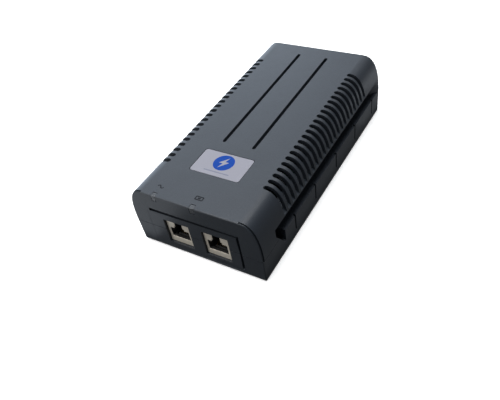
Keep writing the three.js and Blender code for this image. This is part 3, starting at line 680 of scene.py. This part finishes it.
PRINT_PROUD = 0.012 * MM
PRINT_SUNK = 0.03 * MM
BOLT = [(1.6, 4.6), (-3.0, -0.5), (-0.5, -0.5), (-1.8, -4.6), (3.0, 0.9), (0.5, 0.9)]
EMBLEM = {"x": 0.2, "y": 1.8, "radius": 6.3}
LABEL_LINE = {"half": 8.2, "y": -6.3, "wide": 0.8, "round": 0.98}
MAINS_MARK = {"x": -22.7, "y": 8.0, "half": 2.0, "swing": 0.9, "line": 0.65, "steps": 24}
PORT_MARK = {"x": 2.9, "y": 8.0, "half": 2.6, "deep": 1.5, "line": 0.7}


def print_label():
    """A round power sign in blue and a plain grey line under it."""
    low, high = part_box("label_plate")
    x = (low[0] + high[0]) / 2
    y = (low[1] + high[1]) / 2
    top = high[2]
    cx, cy = x + EMBLEM["x"] * MM, y + EMBLEM["y"] * MM
    blue = ink("blue_ink", (0.001, 0.04, 0.25), (0.5, 0.6))
    disc = circle_outline(cx, cy, EMBLEM["radius"] * MM)
    bolt = [(cx + bx * MM, cy + by * MM) for bx, by in BOLT]
    emblem = flat_mesh("label_emblem", [disc, bolt], top - PRINT_SUNK, top + PRINT_PROUD)
    add_piece("label_emblem", emblem, "label", blue)
    half, middle, wide = LABEL_LINE["half"] * MM, y + LABEL_LINE["y"] * MM, LABEL_LINE["wide"] * MM / 2
    line = box_outline(x - half, x + half, middle - wide, middle + wide, wide * LABEL_LINE["round"])
    mesh = flat_mesh("label_line", [line], top - PRINT_SUNK, top + PRINT_PROUD)
    add_piece("label_line", mesh, "label", ink("grey_ink", (0.16, 0.17, 0.22)))


def print_marks():
    """Plain signs printed by the two indicator windows: a mains wave and a socket outline."""
    low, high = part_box("top_cover")
    front, top = low[1], high[2]
    dark = ink("dark_ink", (0.006, 0.007, 0.009), (0.5, 0.65))
    wave = []
    steps = MAINS_MARK["steps"]
    for step in range(steps + 1):
        turn = 2 * math.pi * step / steps
        along = (2 * step / steps - 1) * MAINS_MARK["half"]
        rise = MAINS_MARK["swing"] * math.sin(turn)
        wave.append(((MAINS_MARK["x"] + along) * MM, front + (MAINS_MARK["y"] + rise) * MM))
    outline = ribbon_outline(wave, MAINS_MARK["line"] * MM)
    mesh = flat_mesh("mains_mark", [outline], top - PRINT_SUNK, top + PRINT_PROUD)
    add_piece("mains_mark", mesh, "casing", dark)
    x, y = PORT_MARK["x"] * MM, front + PORT_MARK["y"] * MM
    half, deep, line = PORT_MARK["half"] * MM, PORT_MARK["deep"] * MM, PORT_MARK["line"] * MM
    rim = box_outline(x - half, x + half, y - deep, y + deep, line)
    hole = box_outline(x - half + line, x + half - line, y - deep + line, y + deep - line)
    tab = box_outline(x - half / 3, x + half / 3, y - deep / 3, y + deep / 3)
    mesh = flat_mesh("port_mark", [rim, hole, tab], top - PRINT_SUNK, top + PRINT_PROUD)
    add_piece("port_mark", mesh, "casing", dark)


RATING_MARGIN = 2.5
RATING_ROWS = 7
RATING_LINE = 0.22
RATING_SPLIT = 0.36
RATING_ROUND = 1.2
CELL_ROUND = 0.6


def print_rating():
    """The underside plate carries only an empty ruled form."""
    low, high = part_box("rating_plate")
    margin, line = RATING_MARGIN * MM, RATING_LINE * MM
    x0, x1 = low[0] + margin, high[0] - margin
    y0, y1 = low[1] + margin, high[1] - margin
    foot = low[2]
    rim = box_outline(x0, x1, y0, y1, RATING_ROUND * MM)
    cells = []
    pitch = (y1 - y0) / RATING_ROWS
    split = x0 + (x1 - x0) * RATING_SPLIT
    for row in range(RATING_ROWS):
        near, far = y0 + row * pitch + line, y0 + (row + 1) * pitch - line
        cells.append(box_outline(x0 + 2 * line, split - line, near, far, CELL_ROUND * MM))
        cells.append(box_outline(split + line, x1 - 2 * line, near, far, CELL_ROUND * MM))
    mesh = flat_mesh("rating_rules", [rim, *cells], foot - PRINT_PROUD, foot + PRINT_SUNK)
    add_piece("rating_rules", mesh, "rating", ink("form_ink", (0.03, 0.03, 0.035)))


FOOT_PROUD = 0.6
COMB = {
    "pitch": 1.016,
    "ribs": 9,
    "thick": 0.2,
    "front": 12.2,
    "back": 16.0,
    "low": 8.7,
    "high": 11.5,
    "lean": 1.1,
}


def jack_combs():
    """Thin ribs that keep the free ends of a jack's spring wires apart."""
    for side in ("left", "right"):
        low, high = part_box(f"{side}_jack_contacts")
        middle = (low[0] + high[0]) / 2
        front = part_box("bottom_tray")[0][1]
        underside = CAD_BOX[0][2] + FOOT_PROUD * MM
        work = bmesh.new()
        for rib in range(COMB["ribs"]):
            x = middle + (rib - (COMB["ribs"] - 1) / 2) * COMB["pitch"] * MM
            half = COMB["thick"] * MM / 2
            profile = [
                (COMB["front"], COMB["low"]),
                (COMB["back"], COMB["low"]),
                (COMB["back"], COMB["high"]),
                (COMB["front"] + COMB["lean"], COMB["high"]),
                (COMB["front"], COMB["high"] - COMB["lean"]),
            ]
            places = [(front + y * MM, underside + z * MM) for y, z in profile]
            left = [work.verts.new((x - half, *place)) for place in places]
            right = [work.verts.new((x + half, *place)) for place in places]
            work.faces.new(left)
            work.faces.new(right[::-1])
            for index in range(len(profile)):
                after = (index + 1) % len(profile)
                work.faces.new((left[index], right[index], right[after], left[after]))
        bmesh.ops.recalc_face_normals(work, faces=work.faces)
        mesh = bpy.data.meshes.new(f"{side}_jack_comb")
        work.to_mesh(mesh)
        work.free()
        add_piece(f"{side}_jack_comb", mesh, "jack_plastic")


CHIP = {"cap_share": 0.2, "cap_proud": 0.05, "round": 0.08}


def chip_part(work, middle, size):
    """One surface-mounted part: a low body with rounded edges, and a metal cap on each end."""
    wide, deep, high = (value * MM for value in size)
    x, y, z = middle
    pieces = [((-wide / 2, wide / 2), (-deep / 2, deep / 2), (0.0, high))]
    cap = wide * CHIP["cap_share"]
    proud = CHIP["cap_proud"] * MM
    for end in (-wide / 2, wide / 2 - cap):
        across = (end - proud, end + cap + proud)
        along = (-deep / 2 - proud, deep / 2 + proud)
        pieces.append((across, along, (0.0, high + proud)))
    for index, (xs, ys, zs) in enumerate(pieces):
        made = bmesh.ops.create_cube(work, size=1.0)["verts"]
        for vert in made:
            vert.co.x = x + xs[vert.co.x > 0]
            vert.co.y = y + ys[vert.co.y > 0]
            vert.co.z = z + zs[vert.co.z > 0]
        edges = {edge for vert in made for edge in vert.link_edges}
        rounding = {"offset": CHIP["round"] * MM, "segments": 2, "affect": "EDGES"}
        faces = bmesh.ops.bevel(work, geom=list(edges), **rounding)["faces"]
        body = set(faces)
        for vert in {v for face in faces for v in face.verts}:
            body.update(vert.link_faces)
        for face in body:
            face.material_index = 1 if index else 0


# Width, depth and height of each size of part
CHIP_SIZES = {
    "small": (2.0, 1.25, 0.6),
    "medium": (3.2, 1.6, 0.9),
    "large": (3.2, 2.5, 1.6),
    "tall": (4.4, 2.6, 2.0),
}
# Size, place across from the middle and distance behind the front face
SMALL_PARTS = [
    ("small", -2.0, 12), ("small", -2.0, 15), ("small", -2.0, 18), ("small", 2.4, 12),
    ("medium", 2.4, 15.5), ("small", 2.4, 19), ("small", -7.5, 44), ("small", -7.5, 46.5),
    ("medium", -10.8, 45), ("small", 7.5, 44), ("small", 7.5, 46.5), ("large", 10.8, 45),
    ("medium", -13, 64), ("medium", 13, 64), ("small", -14, 68), ("small", 14, 68),
    ("medium", 0, 120), ("small", 0, 123), ("tall", 4, 121), ("small", 4, 127),
    ("medium", -3, 129), ("small", 1, 133), ("large", 5, 134), ("small", -4, 135),
]


def board_parts():
    """Surface-mounted resistors and capacitors scattered in the free places of the board."""
    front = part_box("bottom_tray")[0][1]
    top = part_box("main_board")[1][2]
    work = bmesh.new()
    for size, x, y in SMALL_PARTS:
        chip_part(work, (x * MM, front + y * MM, top), CHIP_SIZES[size])
    mesh = bpy.data.meshes.new("board_small_parts")
    work.to_mesh(mesh)
    work.free()
    body = moulded("part_body", (0.03, 0.028, 0.026), (0.4, 0.5))
    add_piece("board_small_parts", mesh, "black_moulding", body)
    mesh.materials.append(metal("part_end_cap", (0.7, 0.68, 0.64)))


CHOKE_TURNS = {"turns": 22, "wire": 0.4, "sunk": 0.4, "steps": 14, "gap_turn": 0.12}


def choke_turns():
    """The enamelled wire wound round the output choke's ring."""
    low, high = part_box("output_choke")
    centre = Vector([(a + b) / 2 for a, b in zip(low, high)])
    tube = (high[2] - low[2]) / 2
    ring = (high[0] - low[0]) / 2 - tube
    wire = CHOKE_TURNS["wire"] * MM
    loop = tube - wire * CHOKE_TURNS["sunk"]
    gap = CHOKE_TURNS["gap_turn"]
    path = []
    count = CHOKE_TURNS["turns"] * CHOKE_TURNS["steps"]
    for step in range(count + 1):
        around = math.pi * 2 * (gap / 2 + (1 - gap) * step / count)
        turn = 2 * math.pi * step / CHOKE_TURNS["steps"]
        out = ring + loop * math.cos(turn)
        up = centre.z + loop * math.sin(turn)
        path.append((centre.x + out * math.cos(around), centre.y + out * math.sin(around), up))
    mesh = wire_mesh("output_choke_turns", path, wire)
    for face in mesh.polygons:
        face.use_smooth = True
    enamel = metal("choke_enamel", (0.62, 0.24, 0.09), (0.2, 0.3), Metallic=0.9)
    add_piece("output_choke_turns", mesh, "copper_wire", enamel)


make_camera()
make_lights()
make_floor()
finish_nodes()
print_label()
print_marks()
print_rating()
jack_combs()
board_parts()
choke_turns()
